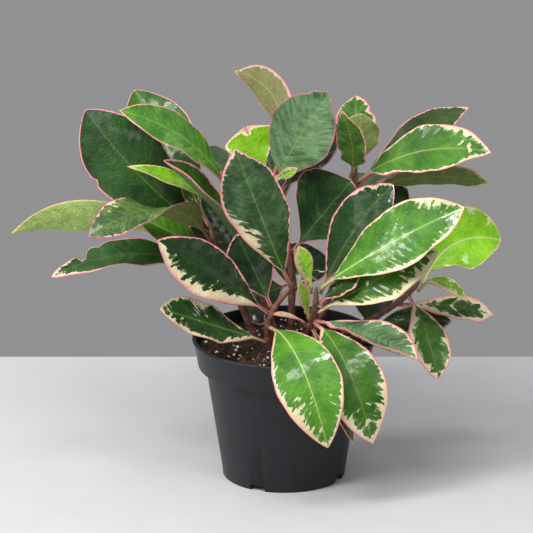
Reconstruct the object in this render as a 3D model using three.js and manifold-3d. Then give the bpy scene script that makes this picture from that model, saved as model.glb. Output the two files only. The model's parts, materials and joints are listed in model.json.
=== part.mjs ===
// Potted peperomia: a thin black nursery pot, its root ball of peat, seven fleshy stems and their leaves.
// Millimetres, +Z up. The origin is the centre of the pot's foot on the surface it stands on, and -Y is
// the front. Every leaf grows from a place along one of the stems and ends at its own tip.
import * as THREE from 'three';
import { mergeVertices } from 'three/addons/utils/BufferGeometryUtils.js';
import Module from 'manifold-3d';

// ---- Pot ----
const POT_HEIGHT = 120;
const FOOT_RADIUS = 50.6;
const FOOT_EDGE = 2;
const NECK_RADIUS = 64.5;
const BAND_RADIUS = 71;
const BAND_BOTTOM = 95;
const LIP_RADIUS = 76;
const LIP_HEIGHT = 3.5;
const WALL = 1.8;
const POT_FLOOR = 2.5;
const POT_SIDES = 48;
const CHANNEL_INNER = 24;
const CHANNEL_OUTER = 45;
const CHANNEL_DEPTH = 3;
const NOTCH_COUNT = 4;
const NOTCH_WIDTH = 13;
const NOTCH_HEIGHT = 4.5;
const NOTCH_START = -26;

// ---- Soil ----
const SOIL_TOP = 110;
const SOIL_CROWN = 3;
const GAP = 0.35;

// ---- Leaves ----
const LEAF_RINGS = 8;
const BLADE_THICKNESS = 1.2;
const STALK_THICKNESS = 3;
const STALK_HALF_WIDTH = 1.7;
const STALK_SHARE = 0.16;
const TOP_STATIONS = [-0.66, -0.33, 0, 0.33, 0.66];
const UNDER_STATIONS = [0.55, 0, -0.55];

const radians = THREE.MathUtils.degToRad;
const mix = THREE.MathUtils.lerp;
const smooth = THREE.MathUtils.smoothstep;

const wasm = await Module();
wasm.setup();

function toSolid(geometry) {
  const bare = geometry.clone();
  bare.deleteAttribute('normal');
  bare.deleteAttribute('uv');
  const merged = mergeVertices(bare, 1e-4);
  return new wasm.Manifold(new wasm.Mesh({
    numProp: 3,
    vertProperties: new Float32Array(merged.attributes.position.array),
    triVerts: new Uint32Array(merged.index.array),
  }));
}

function toGeometry(solid) {
  const mesh = solid.getMesh();
  const geometry = new THREE.BufferGeometry();
  geometry.setAttribute('position', new THREE.BufferAttribute(mesh.vertProperties, 3));
  geometry.setIndex(new THREE.BufferAttribute(mesh.triVerts, 1));
  geometry.computeVertexNormals();
  return geometry;
}

function meshFrom(vertices, triangles) {
  const numbers = vertices.flatMap((vertex) => vertex.toArray());
  const geometry = new THREE.BufferGeometry();
  geometry.setAttribute('position', new THREE.Float32BufferAttribute(numbers, 3));
  geometry.setIndex(triangles);
  geometry.computeVertexNormals();
  return geometry;
}

// The pot is one moulding: floor with a raised drain channel, flared wall, stepped band and rolled lip.
function potProfile() {
  const lipBottom = POT_HEIGHT - LIP_HEIGHT;
  const underLip = LIP_RADIUS - 1.6;
  const points = [
    [0, 0],
    [CHANNEL_INNER, 0],
    [CHANNEL_INNER + 2, CHANNEL_DEPTH],
    [CHANNEL_OUTER, CHANNEL_DEPTH],
    [CHANNEL_OUTER + 2, 0],
    [FOOT_RADIUS - FOOT_EDGE, 0],
    [FOOT_RADIUS, FOOT_EDGE],
    [NECK_RADIUS, BAND_BOTTOM - 2],
    [BAND_RADIUS, BAND_BOTTOM],
    [underLip, lipBottom],
    [LIP_RADIUS, lipBottom + 0.6],
    [LIP_RADIUS, POT_HEIGHT - 1],
    [LIP_RADIUS - 1, POT_HEIGHT],
    [underLip - 0.6, POT_HEIGHT],
    [underLip - WALL, lipBottom],
    [BAND_RADIUS - WALL, BAND_BOTTOM + 1.5],
    [NECK_RADIUS - WALL, BAND_BOTTOM - 0.5],
    [CHANNEL_OUTER + 5, CHANNEL_DEPTH + POT_FLOOR],
    [0, CHANNEL_DEPTH + POT_FLOOR],
  ];
  return points.map(([radius, height]) => new THREE.Vector2(radius, height));
}

function potGeometry() {
  let pot = toSolid(new THREE.LatheGeometry(potProfile(), POT_SIDES).rotateX(Math.PI / 2));
  for (let i = 0; i < NOTCH_COUNT; i += 1) {
    const angle = radians(NOTCH_START + (i * 360) / NOTCH_COUNT - 90);
    const notch = new THREE.BoxGeometry(16, NOTCH_WIDTH, NOTCH_HEIGHT * 2);
    notch.translate(FOOT_RADIUS + 1, 0, 0);
    notch.rotateZ(angle);
    pot = pot.subtract(toSolid(notch));
  }
  return toGeometry(pot);
}

function innerRadius(height) {
  const share = (height - BAND_BOTTOM) / (POT_HEIGHT - LIP_HEIGHT - BAND_BOTTOM);
  return mix(BAND_RADIUS, LIP_RADIUS - 1.6, share) - WALL;
}

// The root ball fills the pot, follows its step, and is slightly crowned on top.
function soilGeometry() {
  const floor = CHANNEL_DEPTH + POT_FLOOR + GAP;
  const shelf = BAND_BOTTOM + 1.5 + GAP;
  const points = [
    [0, floor],
    [CHANNEL_OUTER + 5 - GAP * 2, floor],
    [NECK_RADIUS - WALL - GAP, BAND_BOTTOM - 0.5],
    [NECK_RADIUS - WALL - GAP, shelf],
    [innerRadius(shelf) - GAP * 2, shelf + 0.3],
    [innerRadius(SOIL_TOP) - GAP * 2, SOIL_TOP],
    [innerRadius(SOIL_TOP) - 14, SOIL_TOP + 1],
    [35, SOIL_TOP + SOIL_CROWN - 1],
    [0, SOIL_TOP + SOIL_CROWN],
  ];
  const profile = points.map(([radius, height]) => new THREE.Vector2(radius, height));
  return new THREE.LatheGeometry(profile, POT_SIDES).rotateX(Math.PI / 2);
}

// A stem is a round section swept up its own curve, from the soil to the growing tip.
function stemCurve(points) {
  return new THREE.CatmullRomCurve3(points.map((point) => new THREE.Vector3(...point)));
}

function stemGeometry(stem) {
  const section = new THREE.Shape(
    Array.from({ length: 8 }, (_, i) => {
      const angle = (i * Math.PI) / 4;
      return new THREE.Vector2(stem.radius * Math.cos(angle), stem.radius * Math.sin(angle));
    }),
  );
  return new THREE.ExtrudeGeometry(section, { steps: 8, extrudePath: stem.curve, bevelEnabled: false });
}

// Half the blade's width at a share of its length: a narrow stalk, widest past the middle, a blunt tip.
function halfWidth(leaf, share) {
  const blade = Math.max(0, (share - STALK_SHARE / 2) / (1 - STALK_SHARE / 2));
  const power = Math.log(0.5) / Math.log(leaf.widest);
  const outline = Math.sin(Math.PI * blade ** power) ** 0.75;
  return Math.max(STALK_HALF_WIDTH * (1 - share * 0.6), (leaf.width / 2) * outline);
}

// Where the leaf leaves its stem: just outside the bark, on the side that its tip is on.
function leafStart(leaf) {
  const { curve, radius } = leaf.stem;
  const place = curve.getPointAt(leaf.at);
  const along = curve.getTangentAt(leaf.at);
  const reach = leaf.tip.clone().sub(place).normalize();
  const outwards = reach.clone().addScaledVector(along, -reach.dot(along)).normalize();
  const lying = Math.abs(reach.dot(along));
  return place.addScaledVector(outwards, radius + GAP + lying * STALK_THICKNESS * 0.55);
}

// A leaf's middle line is an arc from stalk to tip, bowed towards its face and swayed to its side. Each half
// of the blade is curled up by its own angle, and the blade turns by its twist from stalk to tip.
function leafGeometry(leaf) {
  const start = leafStart(leaf);
  const reach = leaf.tip.clone().sub(start).normalize();
  const side = reach.clone().cross(leaf.face).normalize();
  const face = side.clone().cross(reach).normalize();
  const bend = start.clone().add(leaf.tip).multiplyScalar(0.5);
  bend.addScaledVector(face, leaf.bow * 2).addScaledVector(side, leaf.sway * 2);
  const line = new THREE.QuadraticBezierCurve3(start, bend, leaf.tip);
  const vertices = [line.getPoint(0)];
  for (let ring = 1; ring < LEAF_RINGS; ring += 1) {
    const share = ring / LEAF_RINGS;
    const along = line.getTangent(share);
    const turn = radians(leaf.twist) * (share - 0.3);
    const across = side.clone().addScaledVector(along, -side.dot(along)).normalize();
    across.applyAxisAngle(along, turn);
    const normal = across.clone().cross(along).normalize();
    const half = halfWidth(leaf, share);
    const thick = mix(STALK_THICKNESS, BLADE_THICKNESS, smooth(share, 0, STALK_SHARE * 1.6));
    const middle = line.getPoint(share);
    const onBlade = (station, lift) => {
      const curl = radians(station < 0 ? leaf.curl[0] : leaf.curl[1]) || 1e-6;
      const open = smooth(share, 0.05, 0.35);
      const angle = curl * Math.abs(station) * open || 1e-6;
      const span = (half * Math.abs(station)) / angle;
      const out = Math.sign(station) || 1;
      const local = normal.clone().multiplyScalar(Math.cos(angle));
      local.addScaledVector(across, -out * Math.sin(angle));
      const point = middle.clone().addScaledVector(across, out * span * Math.sin(angle));
      return point.addScaledVector(normal, span * (1 - Math.cos(angle))).addScaledVector(local, lift);
    };
    vertices.push(onBlade(-1, 0));
    TOP_STATIONS.forEach((station) => vertices.push(onBlade(station, thick / 2)));
    vertices.push(onBlade(1, 0));
    UNDER_STATIONS.forEach((station) => vertices.push(onBlade(station, -thick / 2)));
  }
  vertices.push(line.getPoint(1));
  return meshFrom(vertices, ringTriangles(vertices.length));
}

// Faces between rings of equal count, closed by one point at each end.
function ringTriangles(count) {
  const around = TOP_STATIONS.length + UNDER_STATIONS.length + 2;
  const triangles = [];
  const rings = LEAF_RINGS - 1;
  for (let i = 0; i < around; i += 1) {
    const next = (i + 1) % around;
    triangles.push(0, 1 + next, 1 + i);
    for (let ring = 0; ring < rings - 1; ring += 1) {
      const low = 1 + ring * around;
      const high = low + around;
      triangles.push(low + i, high + next, high + i, low + i, low + next, high + next);
    }
    const last = 1 + (rings - 1) * around;
    triangles.push(count - 1, last + i, last + next);
  }
  return triangles;
}

// ---- Materials ----
const finish = {
  pot: { color: '#2e3036', roughness: 0.45, metalness: 0 },
  soil: { color: '#3a2a1e', roughness: 1, metalness: 0 },
  stem: { color: '#8a5a48', roughness: 0.5, metalness: 0 },
  dark: { color: '#23402a', roughness: 0.25, metalness: 0 },
  bright: { color: '#4f8a3a', roughness: 0.25, metalness: 0 },
  lime: { color: '#a3bf3c', roughness: 0.35, metalness: 0 },
  olive: { color: '#5f6a3c', roughness: 0.4, metalness: 0 },
};

const plant = new THREE.Group();

function add(name, geometry, look) {
  const mesh = new THREE.Mesh(geometry, new THREE.MeshStandardMaterial(finish[look]));
  mesh.name = name;
  plant.add(mesh);
}

add('pot', potGeometry(), 'pot');
add('soil', soilGeometry(), 'soil');

// ---- Plant: each stem from its root in the soil to its growing tip, and the leaves that grow from it ----
function stem(name, radius, points) {
  const grown = { name, radius, curve: stemCurve(points), leaves: 0 };
  add(`stem_${name}`, stemGeometry(grown), 'stem');
  return grown;
}

// leaf(stem, look, share of the way up the stem, tip, direction that its face looks in, width, form)
function leaf(grown, look, at, tip, face, width, form = {}) {
  const shape = { widest: 0.6, bow: 0, sway: 0, twist: 0, curl: [15, 15], ...form };
  shape.stem = grown;
  shape.at = at;
  shape.tip = new THREE.Vector3(...tip);
  shape.face = new THREE.Vector3(...face);
  shape.width = width;
  grown.leaves += 1;
  add(`leaf_${grown.name}_${grown.leaves}`, leafGeometry(shape), look);
}

const left = stem('left', 3.2, [[-24, 12, 115], [-40, 20, 150], [-54, 22, 184], [-62, 22, 212]]);
leaf(left, 'olive', 0.7, [-226, 40, 196], [0, 0.9, 0.5], 36, { bow: 4, sway: -30 });
leaf(left, 'dark', 0.93, [-164, 34, 306], [0.2, -1, 0.3], 66, { bow: 8, sway: -7 });
leaf(left, 'olive', 0.86, [-161, -62, 229], [0, 0.85, 0.5], 50, { bow: 12, sway: -28, twist: -130 });
leaf(left, 'bright', 0.68, [-121, 2, 224], [0, -0.7, 0.7], 28, { bow: 6 });
leaf(left, 'bright', 0.99, [-124, 100, 301], [0.2, -1, 0.4], 56, { bow: 4 });
leaf(left, 'dark', 0.5, [-192, -20, 179], [0, -0.4, 1], 34, { bow: 28 });
leaf(left, 'dark', 0.42, [-112, 84, 168], [-0.3, 0.5, 1], 42, { bow: 6 });

const highLeft = stem('high_left', 3, [[-8, 26, 115], [-24, 36, 165], [-38, 40, 210], [-44, 40, 242]]);
leaf(highLeft, 'bright', 0.94, [-136, 10, 314], [0.5, -0.6, 1], 40, { bow: 18 });
leaf(highLeft, 'lime', 0.72, [-129, -10, 272], [0, -0.5, 1], 18, { bow: 12 });
leaf(highLeft, 'bright', 0.38, [-99, -30, 284], [4, 0, 3], 42, { bow: 8, curl: [60, 60] });
leaf(highLeft, 'dark', 0.97, [-92, 130, 234], [0, 0.5, 1], 50, { bow: 14 });
leaf(highLeft, 'dark', 0.3, [-70, 72, 219], [0, -1, 0.3], 50, { bow: -4 });

const front = stem('front', 3.2, [[-12, -12, 115], [-14, -14, 130], [-8, -15, 150], [8, -14, 170]]);
leaf(front, 'dark', 0.98, [-40, -60, 305], [-0.2, -1, 0.3], 54, { bow: 4 });
leaf(front, 'dark', 0.6, [-39, -10, 213], [0.1, -1, 0.2], 40, { bow: 2 });
leaf(front, 'dark', 0.5, [-104, -60, 225], [-0.2, -0.9, 0.6], 44, { bow: 6 });
leaf(front, 'dark', 0.12, [-102, -75, 171], [0, -0.6, 0.8], 42);
leaf(front, 'bright', 0.32, [36, -108, 61], [0, -1, 0.6], 56, { bow: 38, sway: -6 });

const top = stem('top', 3.4, [[6, 30, 115], [6, 38, 165], [-2, 40, 210], [-12, 36, 246]]);
leaf(top, 'dark', 0.97, [38, 10, 329], [-0.2, -1, 0.4], 58, { widest: 0.52, sway: -3 });
leaf(top, 'lime', 0.84, [-32, 56, 284], [0, -1, 0.5], 44, { widest: 0.82 });
leaf(top, 'olive', 0.94, [-41, 110, 314], [0.2, 0.9, 0.4], 32, { sway: -34 });
leaf(top, 'dark', 0.5, [56, 28, 246], [-0.2, -1, 0.4], 72, { widest: 0.68, bow: 4 });
leaf(top, 'dark', 0.88, [44, 62, 286], [0, -1, 0.2], 32);
leaf(top, 'lime', 0.99, [11, 2, 266], [-0.3, -1, 0.2], 9);
leaf(top, 'dark', 0.7, [-25, 150, 235], [0, 0.5, 1], 52, { bow: 14 });
leaf(top, 'dark', 0.28, [-38, 60, 126], [-0.2, -1, 0.4], 48);
leaf(top, 'dark', 0.2, [16, 68, 178], [0, -1, 0.3], 54);

const highRight = stem('high_right', 3.4, [[26, 24, 115], [42, 34, 155], [54, 40, 205], [60, 40, 256]]);
leaf(highRight, 'bright', 0.92, [171, 10, 277], [0, -3, 4], 47, { widest: 0.53, bow: 9, sway: -9 });
leaf(highRight, 'olive', 0.88, [154, 90, 289], [0, -0.3, 1], 34, { bow: 10 });
leaf(highRight, 'olive', 0.83, [171, 40, 240], [0, 9, 5], 28, { bow: 10, sway: 4 });
leaf(highRight, 'bright', 0.9, [60, 120, 289], [0, -1, 0.2], 34, { bow: 2 });
leaf(highRight, 'olive', 0.97, [64, 66, 292], [0, 1, 0.2], 36, { bow: 2 });
leaf(highRight, 'olive', 0.97, [47, 10, 314], [-3, -10, 2], 26, { widest: 0.42, sway: 4 });
leaf(highRight, 'dark', 0.6, [102, 56, 230], [0, -1, 0.6], 40, { bow: 4 });
leaf(highRight, 'bright', 0.75, [95, 145, 205], [0, 0.5, 1], 50, { bow: 14 });
leaf(highRight, 'dark', 0.34, [92, 64, 132], [0, -1, 0.4], 60, { bow: 4 });

const centre = stem('centre', 3.4, [[18, -2, 115], [23, -10, 135], [26, -16, 155], [27, -18, 172]]);
leaf(centre, 'bright', 0.97, [148, -60, 254], [0, -0.8, 0.7], 54, { bow: 10 });
leaf(centre, 'dark', 0.9, [90, 0, 253], [-0.1, -1, 0.4], 44, { bow: 6, sway: -5 });
leaf(centre, 'bright', 0.6, [126, -50, 212], [0, -0.8, 0.7], 46, { bow: 4 });
leaf(centre, 'dark', 0.75, [64, -30, 186], [0, -0.6, 0.8], 22, { bow: 2 });
leaf(centre, 'dark', 0.45, [110, -85, 130], [0, -0.5, 1], 40, { bow: 6, curl: [10, 80] });
leaf(centre, 'bright', 0.42, [73, -90, 58], [0.2, -1, 0.6], 52, { bow: 33 });
leaf(centre, 'dark', 0.3, [57, -84, 56], [0, -1, 0.6], 14, { bow: 37, widest: 0.75 });
leaf(centre, 'lime', 0.99, [12, -34, 211], [0.3, -1, 0.2], 16, { curl: [40, 10] });
leaf(centre, 'lime', 0.92, [9, -26, 207], [0.3, -1, 0.2], 10);
leaf(centre, 'lime', 0.5, [12, -45, 184], [0.4, -1, 0.3], 12, { curl: [40, 40] });
leaf(centre, 'lime', 0.35, [-9, -42, 154], [0, -0.4, 1], 10, { bow: 3 });

const right = stem('right', 3, [[42, 6, 115], [72, 12, 130], [98, 12, 148], [114, 10, 166]]);
leaf(right, 'lime', 0.98, [180, 40, 190], [1, -10, 3], 56, { bow: 4, sway: -16, curl: [5, 50] });
leaf(right, 'lime', 0.93, [152, -20, 157], [0, -0.6, 1], 14, { bow: 16 });
leaf(right, 'bright', 0.7, [175, 20, 131], [0, -0.7, 1], 26, { bow: 4 });
leaf(right, 'bright', 0.8, [127, -50, 100], [0.4, -1, 0.3], 34, { bow: 8 });
leaf(right, 'dark', 0.3, [139, 20, 126], [0, -0.7, 1], 30, { bow: 6 });

export default plant;
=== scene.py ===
import json
import math
import random

import bmesh
import bpy
import numpy as np
from mathutils import Matrix, Vector, noise


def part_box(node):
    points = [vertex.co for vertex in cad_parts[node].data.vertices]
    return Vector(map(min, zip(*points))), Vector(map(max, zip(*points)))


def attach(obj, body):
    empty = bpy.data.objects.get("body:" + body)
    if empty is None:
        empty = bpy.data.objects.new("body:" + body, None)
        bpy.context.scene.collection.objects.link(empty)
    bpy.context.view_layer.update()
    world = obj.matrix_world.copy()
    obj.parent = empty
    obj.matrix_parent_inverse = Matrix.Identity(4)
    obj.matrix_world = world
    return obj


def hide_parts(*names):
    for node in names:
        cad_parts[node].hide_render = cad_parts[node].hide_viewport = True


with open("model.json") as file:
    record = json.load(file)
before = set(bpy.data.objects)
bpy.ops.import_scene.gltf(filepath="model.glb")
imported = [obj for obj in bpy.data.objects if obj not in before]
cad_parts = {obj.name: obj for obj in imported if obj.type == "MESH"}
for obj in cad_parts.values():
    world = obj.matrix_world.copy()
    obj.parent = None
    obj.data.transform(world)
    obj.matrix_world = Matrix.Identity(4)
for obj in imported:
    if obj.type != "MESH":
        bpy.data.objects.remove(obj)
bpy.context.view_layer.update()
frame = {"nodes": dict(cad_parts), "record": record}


# ---- Nursery pot ----
# A thin-walled pot of black polypropylene, injection moulded in one piece: a drained foot with four notches,
# a flared wall, a stepped band that stiffens the top, and a small rolled lip. The mould leaves it satin.
MM = 0.001
_, pot_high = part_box("pot")
POT_HEIGHT = pot_high.z
LIP_RADIUS = pot_high.x
LIP_HEIGHT = 3.5 * MM
BAND_BOTTOM = 95 * MM
BAND_RADIUS = 71 * MM
NECK_RADIUS = 64.5 * MM
FOOT_RADIUS = 50.6 * MM
WALL = 1.8 * MM
POT_FLOOR = 5.5 * MM
CHANNEL_INNER = 24 * MM
CHANNEL_OUTER = 45 * MM
CHANNEL_DEPTH = 3 * MM
NOTCH_COUNT = 4
NOTCH_WIDTH = 13 * MM
NOTCH_HEIGHT = 4.5 * MM
NOTCH_START = -116
POT_SIDES = 180
POT_BLACK = (0.009, 0.0098, 0.012)
POT_BLACK_WORN = (0.015, 0.0162, 0.0195)
POT_DUST = (0.07, 0.068, 0.062)


class Wire:
    """One output socket of a material's nodes. Python's operators on it add Math nodes."""

    def __init__(self, tree, socket=None):
        self.tree = tree
        self.socket = socket

    def node(self, kind, settings=None, sockets=None, output=0):
        """Any other node: its type, its settings, its sockets' values or links, and the output wanted."""
        made = self.tree.nodes.new("ShaderNode" + kind)
        for name, value in (settings or {}).items():
            setattr(made, name, value)
        for place, value in (sockets or {}).items():
            if isinstance(value, Wire):
                self.tree.links.new(value.socket, made.inputs[place])
            else:
                made.inputs[place].default_value = value
        return Wire(self.tree, made.outputs[output])

    def math(self, operation, *values):
        return self.node("Math", {"operation": operation}, dict(enumerate(values)))

    def __add__(self, other):
        return self.math("ADD", self, other)

    def __radd__(self, other):
        return self.math("ADD", other, self)

    def __sub__(self, other):
        return self.math("SUBTRACT", self, other)

    def __rsub__(self, other):
        return self.math("SUBTRACT", other, self)

    def __mul__(self, other):
        return self.math("MULTIPLY", self, other)

    def __rmul__(self, other):
        return self.math("MULTIPLY", other, self)

    def __truediv__(self, other):
        return self.math("DIVIDE", self, other)

    def at_least(self, least):
        return self.math("MAXIMUM", self, least)

    def step(self, low, high):
        """Rises smoothly from 0 at low to 1 at high."""
        sockets = {"Value": self, "From Min": low, "From Max": high}
        return self.node("MapRange", {"interpolation_type": "SMOOTHSTEP"}, sockets)

    def attribute(self, name, output="Fac"):
        return self.node("Attribute", {"attribute_name": name}, output=output)

    def place(self):
        return self.node("TexCoord", output="Object")

    def split(self):
        """This vector's three parts."""
        parted = self.node("SeparateXYZ", None, {0: self})
        return [Wire(self.tree, output) for output in parted.socket.node.outputs]

    def stretched(self, x, y, z):
        """This vector with each of its axes scaled."""
        return self.node("VectorMath", {"operation": "MULTIPLY"}, {0: self, 1: (x, y, z)})

    def noise(self, scale, detail=2.0, roughness=0.5):
        """Noise from 0 to 1 over this vector."""
        sockets = {"Vector": self, "Scale": scale, "Detail": detail, "Roughness": roughness}
        return self.node("TexNoise", None, sockets)

    def blend(self, low, high):
        """The colour low where this is 0, and high where it is 1."""
        colours = {0: self}
        for place, colour in ((6, low), (7, high)):
            colours[place] = colour if isinstance(colour, Wire) else (*colour, 1.0)
        return self.node("Mix", {"data_type": "RGBA"}, colours, output=2)

    def tinted(self, colour):
        """This colour multiplied by another."""
        settings = {"data_type": "RGBA", "blend_type": "MULTIPLY"}
        return self.node("Mix", settings, {0: 1.0, 6: self, 7: colour}, output=2)

    def bump(self, strength, distance):
        """A normal raised by this height."""
        sockets = {"Strength": strength, "Distance": distance, "Height": self}
        return self.node("Bump", None, sockets)


def new_material(name, **constants):
    """A material with its shader's plain values set, a wire to start from, and the shader's feed."""
    material = bpy.data.materials.new(name)
    material.use_nodes = True
    tree = material.node_tree
    shader = tree.nodes["Principled BSDF"]
    for socket, value in constants.items():
        shader.inputs[socket.replace("_", " ")].default_value = value

    def feed(socket, wire):
        tree.links.new(wire.socket, shader.inputs[socket])

    return material, Wire(tree), feed


def make_piece(name, vertices, faces, material, replaced=(), values=None):
    """A smooth mesh piece that rides with the plant, with its named values at each vertex."""
    mesh = bpy.data.meshes.new(name)
    mesh.from_pydata([tuple(v) for v in vertices], [], [tuple(f) for f in faces])
    for key, numbers in (values or {}).items():
        numbers = np.asarray(numbers, np.float32)
        kind, field = ("FLOAT", "value") if numbers.ndim == 1 else ("FLOAT_VECTOR", "vector")
        mesh.attributes.new(key, kind, "POINT").data.foreach_set(field, numbers.ravel())
    mesh.shade_smooth()
    mesh.materials.append(material)
    piece = bpy.data.objects.new(name, mesh)
    bpy.context.scene.collection.objects.link(piece)
    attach(piece, "root")
    if replaced:
        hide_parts(*replaced)
    return piece


def rounded(corners, steps=4):
    """A profile of (radius, height, rounding), with each corner cut back and bridged by a curve."""
    points = []
    for i, (radius, height, cut) in enumerate(corners):
        here = np.array((radius, height))
        if cut == 0:
            points.append(here)
            continue
        before = np.array(corners[i - 1][:2]) - here
        after = np.array(corners[i + 1][:2]) - here
        start = here + before / np.linalg.norm(before) * cut
        end = here + after / np.linalg.norm(after) * cut
        for k in range(steps + 1):
            t = k / steps
            points.append((1 - t) ** 2 * start + 2 * t * (1 - t) * here + t * t * end)
    return points


def turned(profile, angles, moved):
    """A profile from axis to axis, turned about Z. moved(radius, height, angle) may shift each point."""
    rings = profile[1:-1]
    vertices = [(0, 0, profile[0][1])]
    for angle in angles:
        for radius, height in rings:
            radius, height = moved(radius, height, angle)
            vertices.append((radius * math.cos(angle), radius * math.sin(angle), height))
    vertices.append((0, 0, profile[-1][1]))
    last = len(vertices) - 1
    count = len(rings)
    faces = []
    for i in range(len(angles)):
        here = 1 + i * count
        there = 1 + (i + 1) % len(angles) * count
        faces.append((0, there, here))
        for k in range(count - 1):
            faces.append((here + k, there + k, there + k + 1, here + k + 1))
        faces.append((last, here + count - 1, there + count - 1))
    return vertices, faces


lip_bottom = POT_HEIGHT - LIP_HEIGHT
under_lip = LIP_RADIUS - 1.6 * MM
pot_profile = rounded([
    (0, 0, 0),
    (CHANNEL_INNER, 0, 0.6 * MM),
    (CHANNEL_INNER + 2 * MM, CHANNEL_DEPTH, 0.6 * MM),
    (CHANNEL_OUTER, CHANNEL_DEPTH, 0.6 * MM),
    (CHANNEL_OUTER + 2 * MM, 0, 0.5 * MM),
    (FOOT_RADIUS, 0, 1.6 * MM),
    (FOOT_RADIUS + 0.3 * MM, NOTCH_HEIGHT, 0),
    (NECK_RADIUS, BAND_BOTTOM - 2 * MM, 0.8 * MM),
    (BAND_RADIUS, BAND_BOTTOM, 1.3 * MM),
    (under_lip, lip_bottom, 0.5 * MM),
    (LIP_RADIUS, lip_bottom + 0.4 * MM, 0.7 * MM),
    (LIP_RADIUS, POT_HEIGHT, 1.1 * MM),
    (under_lip - 0.9 * MM, POT_HEIGHT, 0.6 * MM),
    (under_lip - WALL, lip_bottom, 0.8 * MM),
    (BAND_RADIUS - WALL, BAND_BOTTOM + 1.5 * MM, 0.6 * MM),
    (NECK_RADIUS - WALL, BAND_BOTTOM - 0.5 * MM, 0.6 * MM),
    (CHANNEL_OUTER + 5 * MM, POT_FLOOR, 2 * MM),
    (0, POT_FLOOR, 0),
])
notch_half = math.asin(NOTCH_WIDTH / 2 / FOOT_RADIUS)
notch_centres = [math.radians(NOTCH_START) + i * math.tau / NOTCH_COUNT for i in range(NOTCH_COUNT)]


def in_notch(angle):
    return any(abs((angle - c + math.pi) % math.tau - math.pi) <= notch_half for c in notch_centres)


def notched(radius, height, angle):
    """Lifts the foot's outer ring where a notch is cut."""
    if in_notch(angle) and radius > CHANNEL_OUTER + 0.5 * MM and height < NOTCH_HEIGHT:
        height = NOTCH_HEIGHT
    return radius, height


notch_edges = [c + side * (notch_half + d) for c in notch_centres for side in (-1, 1) for d in (-4e-4, 4e-4)]
even_turns = [i * math.tau / POT_SIDES for i in range(POT_SIDES)]
pot_turns = sorted(even_turns + [a % math.tau for a in notch_edges])

pot_plastic, wire, feed = new_material("pot_plastic", IOR=1.48, Specular_IOR_Level=0.32)
where = wire.place()
patches = where.noise(34, 4, 0.6)
speckle = where.noise(700, 2)
drawn = where.stretched(1, 1, 0.06).noise(260, 3)
dust = where.noise(90, 6, 0.7).step(0.5, 0.72)
black = patches.blend(POT_BLACK, POT_BLACK_WORN)
feed("Base Color", (dust * 0.12).blend(black, POT_DUST))
feed("Roughness", 0.36 + patches * 0.1 + dust * 0.12)
feed("Normal", (speckle * 0.5 + drawn * 0.8).bump(0.22, 0.00025))
pot_shell, pot_faces = turned(pot_profile, pot_turns, notched)
make_piece("nursery_pot", pot_shell, pot_faces, pot_plastic, ["pot"])


# ---- Soil ----
# Moist potting mix pressed into the pot: brown peat with crumbs, bark chips and root fibres, and white
# perlite scattered through it. It fills the pot and lies slightly crowned under the lip.
soil_low, soil_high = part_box("soil")
SOIL_CROWN = 3 * MM
SOIL_EDGE = soil_high.z - SOIL_CROWN
SOIL_RADIUS = soil_high.x
SOIL_RINGS = 60
CRUMBS = 520
CHIPS = 150
CHIP_SHAPE = (1, 0.5, 0.28)
FIBRES = 190
FIBRE_POINTS = 6
FIBRE_SIDES = 5
PERLITE = 190
PERLITE_SHAPE = (1, 0.9, 0.8)
PEAT_WET = (0.012, 0.0065, 0.0035)
PEAT_DRY = (0.052, 0.03, 0.017)
CHIP_DARK = (0.045, 0.022, 0.011)
CHIP_TAN = (0.16, 0.09, 0.045)
PERLITE_PIT = (0.3, 0.27, 0.22)
PERLITE_WHITE = (0.78, 0.76, 0.72)
PERLITE_STAINED = (0.5, 0.44, 0.36)
grit = random.Random(41)


def soil_height(x, y):
    """The height of the soil's surface, with its clods and hollows."""
    share = min(1.0, math.hypot(x, y) / SOIL_RADIUS)
    clods = noise.fractal(Vector((x * 90, y * 90, 3.1)), 1.0, 2.0, 3)
    fine = noise.fractal(Vector((x * 330, y * 330, 8.7)), 0.7, 2.0, 4)
    return SOIL_EDGE + SOIL_CROWN * (1 - share * share) + (clods * 1.5 + fine * 0.8) * MM


def soil_shape(radius, height, angle):
    if height < SOIL_EDGE - 1 * MM or radius > SOIL_RADIUS - 0.2 * MM:
        return radius, height
    return radius, soil_height(radius * math.cos(angle), radius * math.sin(angle))


def lump(size, flat=(1, 1, 1)):
    """The corners of one irregular grain, on the pattern of a small ball."""
    turn = Vector([grit.uniform(-1, 1) for _ in range(3)]).normalized()
    angle = grit.uniform(0, math.tau)
    shift = grit.uniform(0, 50)
    corners = []
    for corner in ball_corners:
        bumpy = 1 + 0.55 * noise.noise(corner * 1.6 + Vector((shift, 0, 0)))
        point = Vector([c * f for c, f in zip(corner, flat)]) * (bumpy * size)
        corners.append(Matrix.Rotation(angle, 3, turn) @ point)
    return corners


def anywhere_on_soil(reach=0.95):
    radius = SOIL_RADIUS * reach * math.sqrt(grit.random())
    angle = grit.uniform(0, math.tau)
    x = radius * math.cos(angle)
    y = radius * math.sin(angle)
    return Vector((x, y, soil_height(x, y)))


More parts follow.
